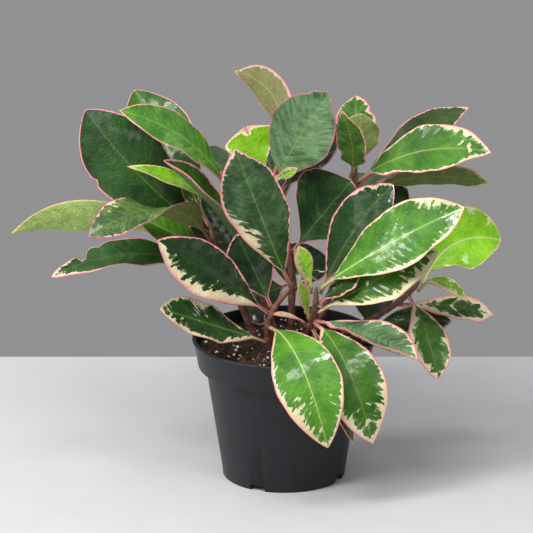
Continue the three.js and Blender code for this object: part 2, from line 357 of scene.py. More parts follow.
def tube(points, radii, sides):
    """A round tube along points, closed at both ends: its corners, its faces and each corner's ring."""
    points = np.asarray(points, float)
    along = np.gradient(points, axis=0)
    along /= np.linalg.norm(along, axis=1)[:, None]
    across = np.cross(along[0], (0.3, 0.9, 0.2))
    corners = [points[0]]
    rings = [0]
    for i, (point, radius) in enumerate(zip(points, radii)):
        across = across - along[i] * (across @ along[i])
        across /= np.linalg.norm(across)
        up = np.cross(along[i], across)
        for k in range(sides):
            turn = k * math.tau / sides
            corners.append(point + radius * (math.cos(turn) * across + math.sin(turn) * up))
            rings.append(i)
    corners.append(points[-1])
    rings.append(len(points) - 1)
    faces = []
    last = len(corners) - 1
    for k in range(sides):
        n = (k + 1) % sides
        faces.append((0, 1 + n, 1 + k))
        for i in range(len(points) - 1):
            a = 1 + i * sides
            b = a + sides
            faces.append((a + k, a + n, b + n, b + k))
        faces.append((last, last - sides + k, last - sides + n))
    return corners, faces, rings


ball = bmesh.new()
bmesh.ops.create_icosphere(ball, subdivisions=1, radius=1)
ball_corners = [v.co.copy() for v in ball.verts]
ball_faces = [[v.index for v in f.verts] for f in ball.faces]
ball.free()

wall_gap = WALL + 0.5 * MM
soil_profile = [
    (0, soil_low.z),
    (CHANNEL_OUTER + 4 * MM, soil_low.z),
    (NECK_RADIUS - wall_gap, BAND_BOTTOM - 0.5 * MM),
    (NECK_RADIUS - wall_gap, BAND_BOTTOM + 2 * MM),
    (BAND_RADIUS - wall_gap - 0.3 * MM, BAND_BOTTOM + 2.3 * MM),
    (SOIL_RADIUS, SOIL_EDGE - 0.5 * MM),
]
soil_profile += [(SOIL_RADIUS * (1 - i / SOIL_RINGS), SOIL_EDGE) for i in range(1, SOIL_RINGS)]
soil_profile.append((0, soil_height(0, 0)))
soil_corners, soil_faces = turned(soil_profile, even_turns, soil_shape)
soil_kind = [0.0] * len(soil_corners)


def scatter(corners, faces, kinds, grain, grain_faces, at, kind):
    """Adds one grain to a heap of them."""
    first = len(corners)
    corners.extend(tuple(at + c) for c in grain)
    faces.extend([first + i for i in face] for face in grain_faces)
    kinds.extend([kind] * len(grain))


soil_heap = (soil_corners, soil_faces, soil_kind)
for _ in range(CRUMBS):
    crumb = lump(grit.uniform(0.7, 2.0) * MM)
    scatter(*soil_heap, crumb, ball_faces, anywhere_on_soil(), grit.uniform(0.1, 0.5))
for _ in range(CHIPS):
    chip = lump(grit.uniform(1.4, 3.4) * MM, CHIP_SHAPE)
    scatter(*soil_heap, chip, ball_faces, anywhere_on_soil(), grit.uniform(0.5, 0.9))
for _ in range(FIBRES):
    start = anywhere_on_soil(0.88)
    heading = grit.uniform(0, math.tau)
    length = grit.uniform(4, 11) * MM
    bend = grit.uniform(-1.2, 1.2)
    line = []
    for k in range(FIBRE_POINTS):
        heading += bend / (FIBRE_POINTS - 1)
        x = start.x + math.cos(heading) * length * k / (FIBRE_POINTS - 1)
        y = start.y + math.sin(heading) * length * k / (FIBRE_POINTS - 1)
        line.append((x, y, soil_height(x, y) + 0.5 * MM + 1.1 * MM * math.sin(k * 1.4 + bend)))
    thin = grit.uniform(0.16, 0.34) * MM
    fibre, fibre_faces, _rings = tube(line, [thin] * FIBRE_POINTS, FIBRE_SIDES)
    scatter(*soil_heap, [Vector(c) for c in fibre], fibre_faces, Vector(), 1.0)

potting_mix, wire, feed = new_material("potting_mix", Specular_IOR_Level=0.25)
where = wire.place()
coarse = where.noise(120, 6, 0.7)
fine = where.noise(700, 4, 0.6)
kind = wire.attribute("kind")
peat = coarse.step(0.35, 0.7).blend(PEAT_WET, PEAT_DRY)
bark = fine.step(0.3, 0.75).blend(CHIP_DARK, CHIP_TAN)
feed("Base Color", (kind * 0.9 + (fine - 0.5) * 0.5).step(0.25, 0.9).blend(peat, bark))
feed("Roughness", 0.62 + fine * 0.35)
feed("Normal", (coarse + fine * 0.6).bump(0.8, 0.0008))
make_piece("soil", soil_corners, soil_faces, potting_mix, ["soil"], {"kind": soil_kind})

bead_corners, bead_faces, bead_kind = [], [], []
for _ in range(PERLITE):
    bead = lump(grit.uniform(0.6, 1.9) * MM, PERLITE_SHAPE)
    scatter(bead_corners, bead_faces, bead_kind, bead, ball_faces, anywhere_on_soil(), grit.random())
white_perlite, wire, feed = new_material("white_perlite", Specular_IOR_Level=0.3)
where = wire.place()
pits = where.noise(1500, 3, 0.6)
shade = wire.attribute("kind")
bead_white = pits.step(0.3, 0.5).blend(PERLITE_PIT, PERLITE_WHITE)
feed("Base Color", (shade.step(0.5, 1.0) * 0.5).blend(bead_white, PERLITE_STAINED))
feed("Roughness", 0.75 + pits * 0.2)
feed("Normal", pits.bump(0.7, 0.0004))
make_piece("perlite", bead_corners, bead_faces, white_perlite, (), {"kind": bead_kind})


# ---- Stems ----
# Short fleshy stems, seven of them, brown and pink below and greener above. Each is ringed and swollen where
# a leaf grows or has dropped, is rooted in the soil, and ends in a growing bud.
STEM_RADIUS = 3.1 * MM
STEM_TAPER = 0.42
STEM_ROOT = 7 * MM
STEM_SIDES = 16
STEM_ROWS = 90
BUD_REACH = 0.4 * STEM_RADIUS
BUD_LENGTH = 9 * MM
JOINT_SWELL = 0.45 * MM
JOINT_LENGTH = 2.6 * MM
SCAR_SPACING = 11 * MM
SCAR_LENGTH = 1.3 * MM
SCAR_SHARE = 0.55
LEAF_GAP = 7 * MM
BARK_DARK = (0.05, 0.017, 0.014)
BARK_PINK = (0.17, 0.058, 0.045)
STEM_OLIVE = (0.12, 0.085, 0.03)
STEM_PINK = (0.22, 0.07, 0.06)
SCAR_TAN = (0.26, 0.15, 0.09)


def corners_of(node):
    """A CAD node's corners, and the pairs of them that its edges join, with doubled corners merged."""
    mesh = frame["nodes"][node].data
    places = {}
    index = [places.setdefault(tuple(round(c, 6) for c in v.co), len(places)) for v in mesh.vertices]
    pairs = {(index[a], index[b]) for a, b in (e.vertices for e in mesh.edges)}
    return np.array(list(places)), pairs


def centre_line(node, slices=26):
    """The middle of a stem's CAD solid at even heights, from soil to tip, smoothed."""
    corners, pairs = corners_of(node)
    ends = np.array(sorted(pairs))
    low, high = corners[ends[:, 0]], corners[ends[:, 1]]
    points = []
    for height in np.linspace(corners[:, 2].min() + STEM_RADIUS, corners[:, 2].max() - STEM_RADIUS, slices):
        cut = (low[:, 2] - height) * (high[:, 2] - height) < 0
        share = (height - low[cut, 2]) / (high[cut, 2] - low[cut, 2])
        found = low[cut] + (high[cut] - low[cut]) * share[:, None]
        points.append((found.min(0) + found.max(0)) / 2)
    points = np.array(points)
    for _ in range(3):
        points[1:-1] = points[:-2] * 0.25 + points[1:-1] * 0.5 + points[2:] * 0.25
    return points


def between(values, places, wanted):
    """Values at some places along a line, joined smoothly at the wanted places."""
    values = np.asarray(values, float)
    slopes = np.gradient(values, places, axis=0)
    i = np.clip(np.searchsorted(places, wanted) - 1, 0, len(places) - 2)
    step = np.asarray(places)[i + 1] - np.asarray(places)[i]
    t = (wanted - np.asarray(places)[i]) / step
    if values.ndim > 1:
        t, step = t[:, None], step[:, None]
    start = (1 + 2 * t) * (1 - t) ** 2 * values[i] + t * (1 - t) ** 2 * step * slopes[i]
    return start + t * t * (3 - 2 * t) * values[i + 1] - t * t * (1 - t) * step * slopes[i + 1]


stem_skin, wire, feed = new_material("stem_skin", IOR=1.45, Subsurface_Weight=0.08, Subsurface_Scale=0.0015)
where = wire.place()
mottle = where.noise(230, 4, 0.6)
streaks = where.stretched(1, 1, 0.12).noise(700, 3, 0.6)
ring = wire.attribute("ring")
up = wire.attribute("up")
bark = mottle.step(0.3, 0.7).blend(BARK_DARK, BARK_PINK)
flesh = streaks.step(0.3, 0.7).blend(STEM_OLIVE, STEM_PINK)
skin = (up + (mottle - 0.5) * 0.5).step(0.35, 0.95).blend(bark, flesh)
feed("Base Color", (ring * 0.4).blend(skin, SCAR_TAN))
feed("Roughness", 0.36 + mottle * 0.25)
feed("Normal", (mottle * 0.7 + streaks * 0.4).bump(0.5, 0.0005))

leaf_nodes = sorted(n for n in frame["nodes"] if n.startswith("leaf_"))
stem_nodes = sorted(n for n in frame["nodes"] if n.startswith("stem_"))
for node in stem_nodes:
    line = centre_line(node)
    root = line[0] + (line[0] - line[1]) / np.linalg.norm(line[0] - line[1]) * (STEM_RADIUS + STEM_ROOT)
    bud = line[-1] + (line[-1] - line[-2]) / np.linalg.norm(line[-1] - line[-2]) * BUD_REACH
    line = np.vstack([root, line, bud])
    shares = np.linspace(0, 1, len(line))
    fine_shares = np.linspace(0, 1, STEM_ROWS)
    path = between(line, shares, fine_shares)
    travelled = np.concatenate([[0], np.cumsum(np.linalg.norm(np.diff(path, axis=0), axis=1))])
    swelling = np.zeros(len(path))
    for leaf_node in leaf_nodes:
        if leaf_node.rsplit("_", 1)[0] != node.replace("stem_", "leaf_"):
            continue
        leaf_corners = corners_of(leaf_node)[0]
        distance = np.linalg.norm(path[:, None] - leaf_corners[None], axis=2).min(1)
        joint = travelled[distance.argmin()]
        swelling = np.maximum(swelling, np.exp(-(((travelled - joint) / JOINT_LENGTH) ** 2)))
    for scar in np.arange(STEM_ROOT + 6 * MM, travelled[-1] - LEAF_GAP, SCAR_SPACING):
        swelling = np.maximum(swelling, SCAR_SHARE * np.exp(-(((travelled - scar) / SCAR_LENGTH) ** 2)))
    closing = np.clip((travelled[-1] - travelled) / BUD_LENGTH, 0, 1) ** 0.7
    thick = STEM_RADIUS * (1.0 - STEM_TAPER * fine_shares) + swelling * JOINT_SWELL
    radii = thick * closing + 0.05 * MM
    corners, faces, rings = tube(path, radii, STEM_SIDES)
    values = {"ring": swelling[rings], "up": fine_shares[rings]}
    make_piece(node.replace("stem_", "grown_stem_"), corners, faces, stem_skin, [node], values)


# ---- Leaves ----
# Thick waxy oval blades on short channelled stalks, that grow all round a stem. They are glossy dark to lime
# green above, with a pale midrib, ragged cream margins and a pink rim, and duller or flushed purple below.
RING_CORNERS = 10
RINGS = 7
BLADE_ROWS = 56
BLADE_COLUMNS = 15
STALK_OFFSET = 0.08
STALK_HALF = 1.6 * MM
STALK_REACH = 3.6 * MM
WIDEST = math.log(0.5) / math.log(0.6)
TIP_SHARPNESS = 0.75
THICKNESS_PLACES = (0, 0.12, 0.3, 1)
THICKNESSES = (3 * MM, 2.6 * MM, 1.25 * MM, 1.0 * MM)
THINNEST = 0.5 * MM
BROAD_LEAF = 15 * MM
EDGE_WAVE = 1.7
SCALLOP = 0.016
QUILTING = 0.16 * MM
VEIN_SPACING = 8.5 * MM
VEIN_SLANT = 0.95
GROOVE = 0.55 * MM
GROOVE_HALF = 1.1 * MM
KEEL = 0.8 * MM
KEEL_HALF = 1.4 * MM


def rings_of(node):
    """A leaf's CAD solid as its stalk end, its tip, and seven rings of ten corners that run the same way."""
    points, pairs = corners_of(node)
    near = [set() for _ in points]
    for a, b in pairs:
        near[a].add(b)
        near[b].add(a)
    ends = [i for i, others in enumerate(near) if len(others) == RING_CORNERS]
    layers = []
    layer = seen = {ends[0]}
    while layer:
        layers.append(sorted(layer))
        layer = set().union(*(near[i] for i in layer)) - seen
        seen = seen | layer
    spread = [np.ptp(points[layers[k]], axis=0).max() for k in (1, RINGS)]
    if spread[0] > spread[1]:
        layers.reverse()
    rings = []
    for layer in layers[1:-1]:
        order = [layer[0]]
        while len(order) < RING_CORNERS:
            order.append(next(i for i in layer if i in near[order[-1]] and i not in order))
        ring = points[order]
        if rings:
            ways = [np.roll(r, k, axis=0) for r in (ring, ring[::-1]) for k in range(RING_CORNERS)]
            middle_gap = [w - w.mean(0) - rings[-1] + rings[-1].mean(0) for w in ways]
            ring = ways[int(np.argmin([np.linalg.norm(g, axis=1).sum() for g in middle_gap]))]
        rings.append(ring)
    return points[layers[0][0]], points[layers[-1][0]], np.array(rings)


def sharpness(rings):
    """How sharp each of the ten corners is, over the broad rings."""
    before = np.roll(rings, 1, axis=1) - rings
    after = np.roll(rings, -1, axis=1) - rings
    cosine = (before * after).sum(2) / np.linalg.norm(before, axis=2) / np.linalg.norm(after, axis=2)
    return cosine[2:].sum(0)


def skeleton(node):
    """At eighths of a leaf's length: its middle, face normal, across direction, half width and curls."""
    start, tip, rings = rings_of(node)
    sharp = sharpness(rings)
    first = int(np.argmax(sharp + np.roll(sharp, -6)))
    rings = np.roll(rings, -first, axis=1)
    edge_a, edge_b = rings[:, 0], rings[:, 6]
    top, under = rings[:, 3], rings[:, 8]
    middle = (top + under) / 2
    normal = (top - under) / np.linalg.norm(top - under, axis=1)[:, None]
    line = np.vstack([start, middle, tip])
    along = np.gradient(line, axis=0)[1:-1]
    if (np.cross(along, normal) * (edge_b - edge_a)).sum() < 0:
        edge_a, edge_b = edge_b, edge_a
    across = edge_b - edge_a
    across -= (across * normal).sum(1)[:, None] * normal
    across /= np.linalg.norm(across, axis=1)[:, None]
    halves, curls = [], []
    for edge, side in ((edge_a, -1), (edge_b, 1)):
        chord = edge - middle
        curl = 2 * np.arctan2((chord * normal).sum(1), side * (chord * across).sum(1))
        length = np.linalg.norm(chord, axis=1)
        halves.append(length * (curl / 2) / np.sin(np.where(abs(curl) < 1e-4, 1e-4, curl) / 2))
        curls.append(curl)
    half = np.where(abs(curls[0]) < 1e-4, np.linalg.norm(edge_a - middle, axis=1), halves[0])
    return line, normal, across, half, curls


def outline(share, sharp):
    blade = np.clip((share - STALK_OFFSET) / (1 - STALK_OFFSET), 0, 1)
    return np.sin(np.pi * blade ** WIDEST) ** sharp


def blade_rows(node, sharp):
    """The finished blade's rows, from inside the stem to the tip: each one's share of the length, middle,
    face normal, across direction, half width and curls, then the leaf's length and greatest half width."""
    line, normal, across, half, curls = skeleton(node)
    places = np.arange(RINGS + 2) / (RINGS + 1)
    even = np.linspace(0, 1, BLADE_ROWS)
    shares = even + 0.045 * np.sin(2 * np.pi * even) * (even > 0.5)
    shares = np.concatenate([[-0.03], shares[:-1], [0.996, 0.9995]])
    inside = np.clip(shares, 0, 1)

    def filled(values):
        return between(np.concatenate([values[:1], values, values[-1:]]), places, inside)

    middle = between(line, places, shares)
    back = (line[0] - line[1]) / np.linalg.norm(line[0] - line[1])
    middle[0] = line[0] + back * STALK_REACH
    up = filled(normal)
    up /= np.linalg.norm(up, axis=1)[:, None]
    out = filled(across)
    out -= (out * up).sum(1)[:, None] * up
    out /= np.linalg.norm(out, axis=1)[:, None]
    blade = filled(half / outline(places[1:-1], sharp)) * outline(inside, sharp)
    stalk = STALK_HALF * (1 - 0.6 * inside) * np.clip((1 - inside) / 0.12, 0, 1)
    stalk = np.minimum(stalk, np.maximum(half[0], THINNEST))
    half_width = (blade ** 4 + stalk ** 4) ** 0.25
    length = np.linalg.norm(np.diff(line, axis=0), axis=1).sum()
    return inside, middle, up, out, half_width, [filled(curl) for curl in curls], length, half.max()


def two_sided(rows, columns):
    """The faces of a closed leaf: a grid of corners for its face, and the same again for its underside."""
    total = rows * columns
    faces = []
    for i in range(rows - 1):
        for k in range(columns - 1):
            a = i * columns + k
            faces.append((a, a + 1, a + columns + 1, a + columns))
            faces.append((total + a, total + a + columns, total + a + columns + 1, total + a + 1))
    for k in range(columns - 1):
        last = (rows - 1) * columns + k
        faces.append((k, total + k, total + k + 1, k + 1))
        faces.append((last, last + 1, total + last + 1, total + last))
    return faces


def cream_width(look, share, station):
    """How wide the cream margin is, in mm, at places along and across a blade."""
    left, right, at_tip = look.get("cream", (0.6, 0.6, 0.6))
    cream = np.where(station < 0, left, right) * np.clip((share - 0.03) / 0.12, 0.25, 1)
    cream = cream + at_tip * np.clip((share - 0.72) / 0.28, 0, 1) ** 1.5
    for which, patch_at, spread, wider in look.get("patches", ()):
        patch = wider * np.exp(-(((share - patch_at) / spread) ** 2))
        cream = cream + patch * (station * which >= 0)
    return cream


def grow_leaf(node, look, number):
    """The finished blade and stalk: corners, faces, and the values at each corner that paint its skin."""
    dice = random.Random(number * 7 + 3)
    rows = blade_rows(node, look.get("tip", TIP_SHARPNESS))
    inside, middle, up, out, half_width, curls, length, broadest = rows
    reach = np.sin(np.linspace(0, math.pi / 2, BLADE_COLUMNS)) ** 0.9
    station, share = np.meshgrid(np.concatenate([-reach[:0:-1], reach]), inside)
    off_rib = abs(station)
    right = np.where(station < 0, 0, 1)
    opened = np.clip((share - 0.1) / 0.3, 0, 1)
    closing = np.clip((1 - share) / 0.07, 0, 1) ** 0.5
    phases = [dice.uniform(0, math.tau) for _ in range(8)]

    wide = np.repeat(half_width[:, None], station.shape[1], axis=1)
    for which, nick_at, deep, spread in look.get("nicks", ()):
        bite = deep * MM * np.exp(-(((share - nick_at) / spread) ** 2))
        wide = wide - bite * (station * which > 0)
    lobes = np.sin(share * 19 + phases[0] + right * 2.1) + 0.5 * np.sin(share * 41 + phases[1] + right)
    wide = np.maximum(wide * (1 + SCALLOP * lobes * opened), 0.25 * MM)
    curl = np.where(station < 0, curls[0][:, None], curls[1][:, None])
    curl = np.where(abs(curl) < 1e-3, 1e-3, curl)
    angle = curl * off_rib
    turn = wide / curl

    arc = station * wide
    run = share * length
    near_rib = 12 * MM / (abs(arc) + 12 * MM) * 3 * MM
    vein = (run - VEIN_SLANT * abs(arc) - near_rib) / VEIN_SPACING
    vein = vein + np.where(station < 0, 0.37, 0.0) + dice.random()
    ripple = np.sin(share * 13 + phases[2] + right * 1.9) + 0.7 * np.sin(share * 24 + phases[3] + right * 4)
    wave_size = look.get("wave", EDGE_WAVE) * MM * min(1, broadest / BROAD_LEAF)
    wave = wave_size * off_rib ** 2.2 * ripple * opened * closing * 0.6
    quilt = QUILTING * np.cos(math.tau * vein) * np.sin(math.pi * off_rib ** 0.8) * opened
    thick = np.interp(share, THICKNESS_PLACES, THICKNESSES) * np.minimum(1, closing + 0.25)
    thick = np.minimum(thick, np.maximum(half_width[:, None] * 1.9, THINNEST))
    body = thick / 2 * np.clip(1 - off_rib ** (2 + 8 * opened), 0, 1) ** 0.5
    fade = closing * (1 - 0.55 * share)
    groove = GROOVE * np.exp(-((arc / GROOVE_HALF) ** 2)) * fade
    keel = KEEL * np.exp(-((arc / KEEL_HALF) ** 2)) * fade * (0.35 + 0.65 * (1 - share))
    notch = look.get("notch", 0.0) * MM * np.clip((share - 0.86) / 0.14, 0, 1) ** 1.5 * (1 - off_rib ** 1.2)
    ahead = np.gradient(middle, axis=0)
    ahead /= np.linalg.norm(ahead, axis=1)[:, None]
    corners = []
    for lift in (body - groove, -body - keel):
        lift = lift + wave + quilt
        sideways = np.sign(station) * np.sin(angle) * (turn - lift)
        upwards = turn * (1 - np.cos(angle)) + np.cos(angle) * lift
        place = middle[:, None] + out[:, None] * sideways[..., None] + up[:, None] * upwards[..., None]
        place = place - ahead[:, None] * notch[..., None]
        corners.append(place.reshape(-1, 3))

    def both(values):
        return np.concatenate([values.reshape(station.size, -1)] * 2).squeeze()

    from_edge = np.minimum((1 - off_rib) * wide / MM, (1 - share) * length / MM * 1.1 + 0.2)
    # look carries shade, blush and pale, and flush carries flush and sage: the back leaves' low shade is
    # painted shade, and leaf_top_1's shade and sage are a painted sheen
    own = [look.get("shade", 1.0), look.get("blush", 0.5), look.get("pale", 0.6)]
    below = [look.get("flush", 0.15), look.get("sage", 0.0), 0.0]
    values = {
        "blade": both(np.stack([arc, run, np.full_like(arc, number * 0.31)], axis=2)),
        "margin": both(from_edge),
        "cream": both(cream_width(look, share, station)),
        "vein": both(vein),
        "rib": both(abs(arc) / MM / (0.35 + 1.1 * (1 - share))),
        "under": np.repeat([0.0, 1.0], station.size),
        "look": np.tile(own, (2 * station.size, 1)),
        "flush": np.tile(below, (2 * station.size, 1)),
    }
    return np.vstack(corners), two_sided(*station.shape), values


# Each leaf's own markings, and the painted shade and sheen of a few leaves. cream is the margin's width in mm
# on the left, on the right and at the tip, seen from above with the tip away. patches widen it (side, share
# of the length, spread, mm) and nicks cut into the edge (side, share, mm, spread). blush runs from a tan rim
# to a purple one, pale is the midrib's, sage the greyness, flush the underside's purple, and shade makes a
# leaf darker or brighter. The low shade of the back leaves (leaf_left_7, leaf_high_left_5, leaf_top_8,
# leaf_top_9 and leaf_high_right_9) is painted shade, for the shadow they lie in, and the high shade and sage
# of leaf_top_1 are a painted sheen. tip is how sharply the blade narrows, notch how deep a heart's notch is
# in mm, and wave how far the edge ripples in mm.
looks = {
    "leaf_left_1": dict(cream=(0.5, 0.4, 0.5), blush=0.12, pale=0.5, tip=1.05, shade=1.9, flush=0.0),
    "leaf_left_2": dict(cream=(0.2, 0.2, 0.2), blush=0.55, pale=0.6, shade=0.9, wave=1.1,
                        nicks=[(-1, 0.66, 3.2, 0.018)]),
    "leaf_left_3": dict(cream=(0.3, 0.3, 0.3), blush=0.9, pale=0.4, sage=0.45, flush=0.3, tip=0.8,
                        patches=[(-1, 0.85, 0.1, 1.2), (1, 0.8, 0.1, 2.5)]),
    "leaf_left_4": dict(cream=(0.3, 0.6, 0.4), blush=0.9, pale=1.0, shade=0.9),
    "leaf_left_5": dict(cream=(0.4, 0.4, 0.2), blush=0.42, pale=0.9, shade=0.62),
    "leaf_left_6": dict(cream=(0.6, 0.3, 2), blush=0.45, pale=0.3, shade=1.1, wave=2.2,
                        nicks=[(1, 0.83, 11, 0.02), (1, 0.74, 3, 0.02)]),
    # painted shade: this back leaf is darkened for the shadow it lies in
    "leaf_left_7": dict(shade=0.6),
    "leaf_high_left_1": dict(cream=(0.5, 0.5, 0.5), blush=0.4, pale=0.4, sage=0.3, shade=1.15, tip=0.9),
    "leaf_high_left_2": dict(cream=(0.7, 0.7, 1.2), blush=0.1, pale=0.3, shade=0.95, tip=0.8),
    "leaf_high_left_3": dict(cream=(0.9, 0.9, 0.6), blush=0.6, pale=0.5, shade=0.5, flush=0.1),
    "leaf_high_left_4": dict(shade=1.2, pale=0.8),
    # painted shade: this back leaf is darkened for the shadow it lies in
    "leaf_high_left_5": dict(shade=0.5, blush=0.6),
    "leaf_front_1": dict(cream=(1.5, 1.1, 0.6), blush=0.5, pale=0.9, shade=1.1, sage=0.25, tip=0.95,
                         patches=[(-1, 0.44, 0.1, 6.5), (-1, 0.3, 0.08, 2)]),
    "leaf_front_2": dict(cream=(0.8, 0.7, 0.5), blush=0.5, pale=0.75, shade=0.6),
    "leaf_front_3": dict(cream=(6.0, 0.8, 0.4), blush=0.55, pale=0.25, shade=0.6,
                         patches=[(-1, 0.38, 0.16, 3.2), (1, 0.35, 0.06, 1.2)]),
    "leaf_front_4": dict(cream=(2.4, 2.0, 1.2), blush=0.3, pale=1.0, shade=1.0,
                         patches=[(1, 0.62, 0.1, 3.5), (-1, 0.82, 0.1, 2), (-1, 0.3, 0.1, 1.5)]),
    "leaf_front_5": dict(cream=(0.9, 1.4, 1.0), blush=0.35, pale=0.95, shade=1.1, tip=0.85,
                         patches=[(1, 0.8, 0.1, 6.5), (-1, 0.78, 0.07, 3), (1, 0.52, 0.05, 1.5)]),
    # painted sheen: the high shade and sage lighten and grey this leaf's colour for the broad sheen of light
    # on it
    "leaf_top_1": dict(cream=(0.2, 0.2, 0.2), blush=0.82, pale=0.6, sage=0.7, shade=1.35, wave=1.0,
                       nicks=[(-1, 0.86, 2.6, 0.03), (1, 0.9, 3.4, 0.03)]),
    "leaf_top_2": dict(cream=(0.8, 0.8, 1.0), blush=0.22, pale=0.1, notch=11.0, shade=0.9),
    "leaf_top_3": dict(cream=(1.6, 0.6, 0.5), blush=0.6, pale=0.2, flush=0.5, sage=0.4, shade=0.95, tip=0.9),
    "leaf_top_4": dict(cream=(0.4, 0.6, 0.4), blush=0.6, pale=0.7, shade=0.7, sage=0.2,
                       nicks=[(-1, 0.8, 2.2, 0.02)]),
    "leaf_top_5": dict(blush=0.7, pale=0.6, sage=0.5, shade=0.8),
    "leaf_top_6": dict(cream=(1.6, 0.8, 0.5), blush=0.3, pale=0.4, wave=0.4),
    "leaf_top_7": dict(shade=0.9, pale=0.8),
    # painted shade: these two back leaves are darkened for the shadow they lie in
    "leaf_top_8": dict(shade=0.5, blush=0.6),
    "leaf_top_9": dict(shade=0.45, blush=0.6, pale=0.4),
    "leaf_high_right_1": dict(cream=(1.3, 1.2, 1.2), blush=0.35, pale=0.8, shade=0.85, tip=1.0, sage=0.15,
                              patches=[(-1, 0.78, 0.09, 4), (1, 0.88, 0.06, 2.5)]),
    "leaf_high_right_2": dict(cream=(0.8, 0.8, 1.5), blush=0.55, pale=0.3, shade=0.5, flush=0.6, tip=1.0),
    "leaf_high_right_3": dict(cream=(0.9, 0.9, 0.8), blush=0.2, pale=0.3, shade=0.95, flush=0.0, tip=1.1),
    "leaf_high_right_4": dict(cream=(0.8, 2.0, 0.8), blush=0.45, pale=0.6, sage=0.35, shade=0.9,
                              nicks=[(1, 0.8, 2.5, 0.03)]),
    "leaf_high_right_5": dict(cream=(0.3, 0.3, 0.2), blush=0.35, pale=0.2, shade=0.9, flush=0.0),
    "leaf_high_right_6": dict(cream=(0.8, 0.6, 0.4), blush=0.35, pale=0.4, shade=1.9, flush=0.0, tip=1.0),
    "leaf_high_right_7": dict(blush=0.6, shade=0.5, flush=0.6, pale=0.2),
    "leaf_high_right_8": dict(cream=(1.0, 1.6, 1.0), shade=0.8, pale=0.8),
    # painted shade: this back leaf is darkened for the shadow it lies in
    "leaf_high_right_9": dict(shade=0.5),
    "leaf_centre_1": dict(cream=(1.0, 1.4, 0.8), blush=0.22, pale=1.0, shade=1.0, wave=2.4, tip=0.85,
                          patches=[(-1, 0.84, 0.08, 4.5), (1, 0.55, 0.12, 2.2), (1, 0.86, 0.06, 2)]),
    "leaf_centre_2": dict(cream=(0.9, 0.4, 0.6), blush=0.48, pale=0.5, shade=0.85,
                          patches=[(-1, 0.86, 0.07, 2.2)], nicks=[(-1, 0.9, 1.8, 0.02)]),
    "leaf_centre_3": dict(cream=(0.7, 4.2, 2.2), blush=0.18, pale=0.5, shade=0.75,
                          patches=[(1, 0.8, 0.12, 3)]),
    "leaf_centre_4": dict(cream=(0.4, 1.0, 0.3), blush=0.5, pale=0.4, shade=0.9),
    "leaf_centre_5": dict(cream=(2.0, 3.5, 1.5), blush=0.62, pale=0.3, flush=0.85, sage=0.7, shade=1.3,
                          tip=1.0),
    "leaf_centre_6": dict(cream=(1.4, 1.5, 1.6), blush=0.42, pale=0.6, shade=0.75, tip=0.9,
                          patches=[(1, 0.84, 0.08, 4.5), (-1, 0.8, 0.1, 4), (-1, 0.5, 0.05, 1.5),
                                   (1, 0.16, 0.06, 3)]),
    "leaf_centre_7": dict(cream=(0.4, 0.4, 0.3), blush=0.55, shade=1.1),
    "leaf_centre_8": dict(cream=(3.2, 0.8, 0.8), blush=0.2, pale=0.3, wave=0.6, shade=1.25, tip=0.9),
    "leaf_centre_9": dict(cream=(1.6, 0.6, 0.8), blush=0.3, pale=0.3, wave=0.4, shade=0.55),
    "leaf_centre_10": dict(cream=(2.6, 0.6, 1.0), blush=0.25, pale=0.3, wave=0.6, shade=1.2, tip=0.9),
    "leaf_centre_11": dict(cream=(6.0, 6.0, 2.0), blush=0.45, pale=0.3, wave=0.4, sage=0.4),
    "leaf_right_1": dict(cream=(0.7, 0.8, 0.5), blush=0.22, pale=0.8, shade=1.1, wave=2.6,
                         patches=[(-1, 0.72, 0.03, 3), (-1, 0.86, 0.03, 3)]),
    "leaf_right_2": dict(cream=(1.0, 2.2, 1.2), blush=0.15, pale=0.3, wave=0.8, shade=0.85, tip=0.9),
    "leaf_right_3": dict(cream=(3.6, 3.4, 4.0), blush=0.45, pale=0.3, shade=0.35, tip=1.05),
    "leaf_right_4": dict(cream=(1.2, 3.2, 1.0), blush=0.42, pale=0.4, shade=0.6, tip=0.8,
                         patches=[(1, 0.3, 0.1, 2), (-1, 0.62, 0.05, 2.5)]),
    "leaf_right_5": dict(cream=(0.8, 1.2, 0.5), blush=0.3, pale=0.4, shade=1.2),
}

greens = {
    "leaf_dark": dict(deep=(0.006, 0.024, 0.006), fresh=(0.03, 0.105, 0.014), grey=(0.12, 0.2, 0.1),
                      pale=(0.15, 0.27, 0.06), below=(0.06, 0.085, 0.03)),
    "leaf_bright": dict(deep=(0.02, 0.1, 0.006), fresh=(0.1, 0.29, 0.018), grey=(0.22, 0.36, 0.14),
                        pale=(0.4, 0.58, 0.15), below=(0.19, 0.27, 0.12)),
    "leaf_lime": dict(deep=(0.13, 0.36, 0.005), fresh=(0.3, 0.6, 0.018), grey=(0.42, 0.66, 0.12),
                      pale=(0.7, 0.8, 0.4), below=(0.36, 0.44, 0.12)),
    "leaf_olive": dict(deep=(0.02, 0.055, 0.01), fresh=(0.07, 0.16, 0.02), grey=(0.22, 0.28, 0.09),
                       pale=(0.28, 0.3, 0.08), below=(0.1, 0.17, 0.03)),
}
CREAM_DEEP = (0.68, 0.56, 0.28)
CREAM_LIGHT = (0.86, 0.77, 0.56)
CREAM_PINK = (0.72, 0.34, 0.3)
CREAM_BELOW = (0.55, 0.5, 0.3)
FLUSH_PURPLE = (0.2, 0.07, 0.07)
RIM_TAN = (0.68, 0.46, 0.22)
RIM_PINK = (0.78, 0.22, 0.28)
RIM_PURPLE = (0.3, 0.07, 0.13)
WAXY = {
    "IOR": 1.45,
    "Subsurface_Weight": 0.1,
    "Subsurface_Scale": 0.0012,
    "Coat_Roughness": 0.09,
    "Specular_IOR_Level": 0.22,
}


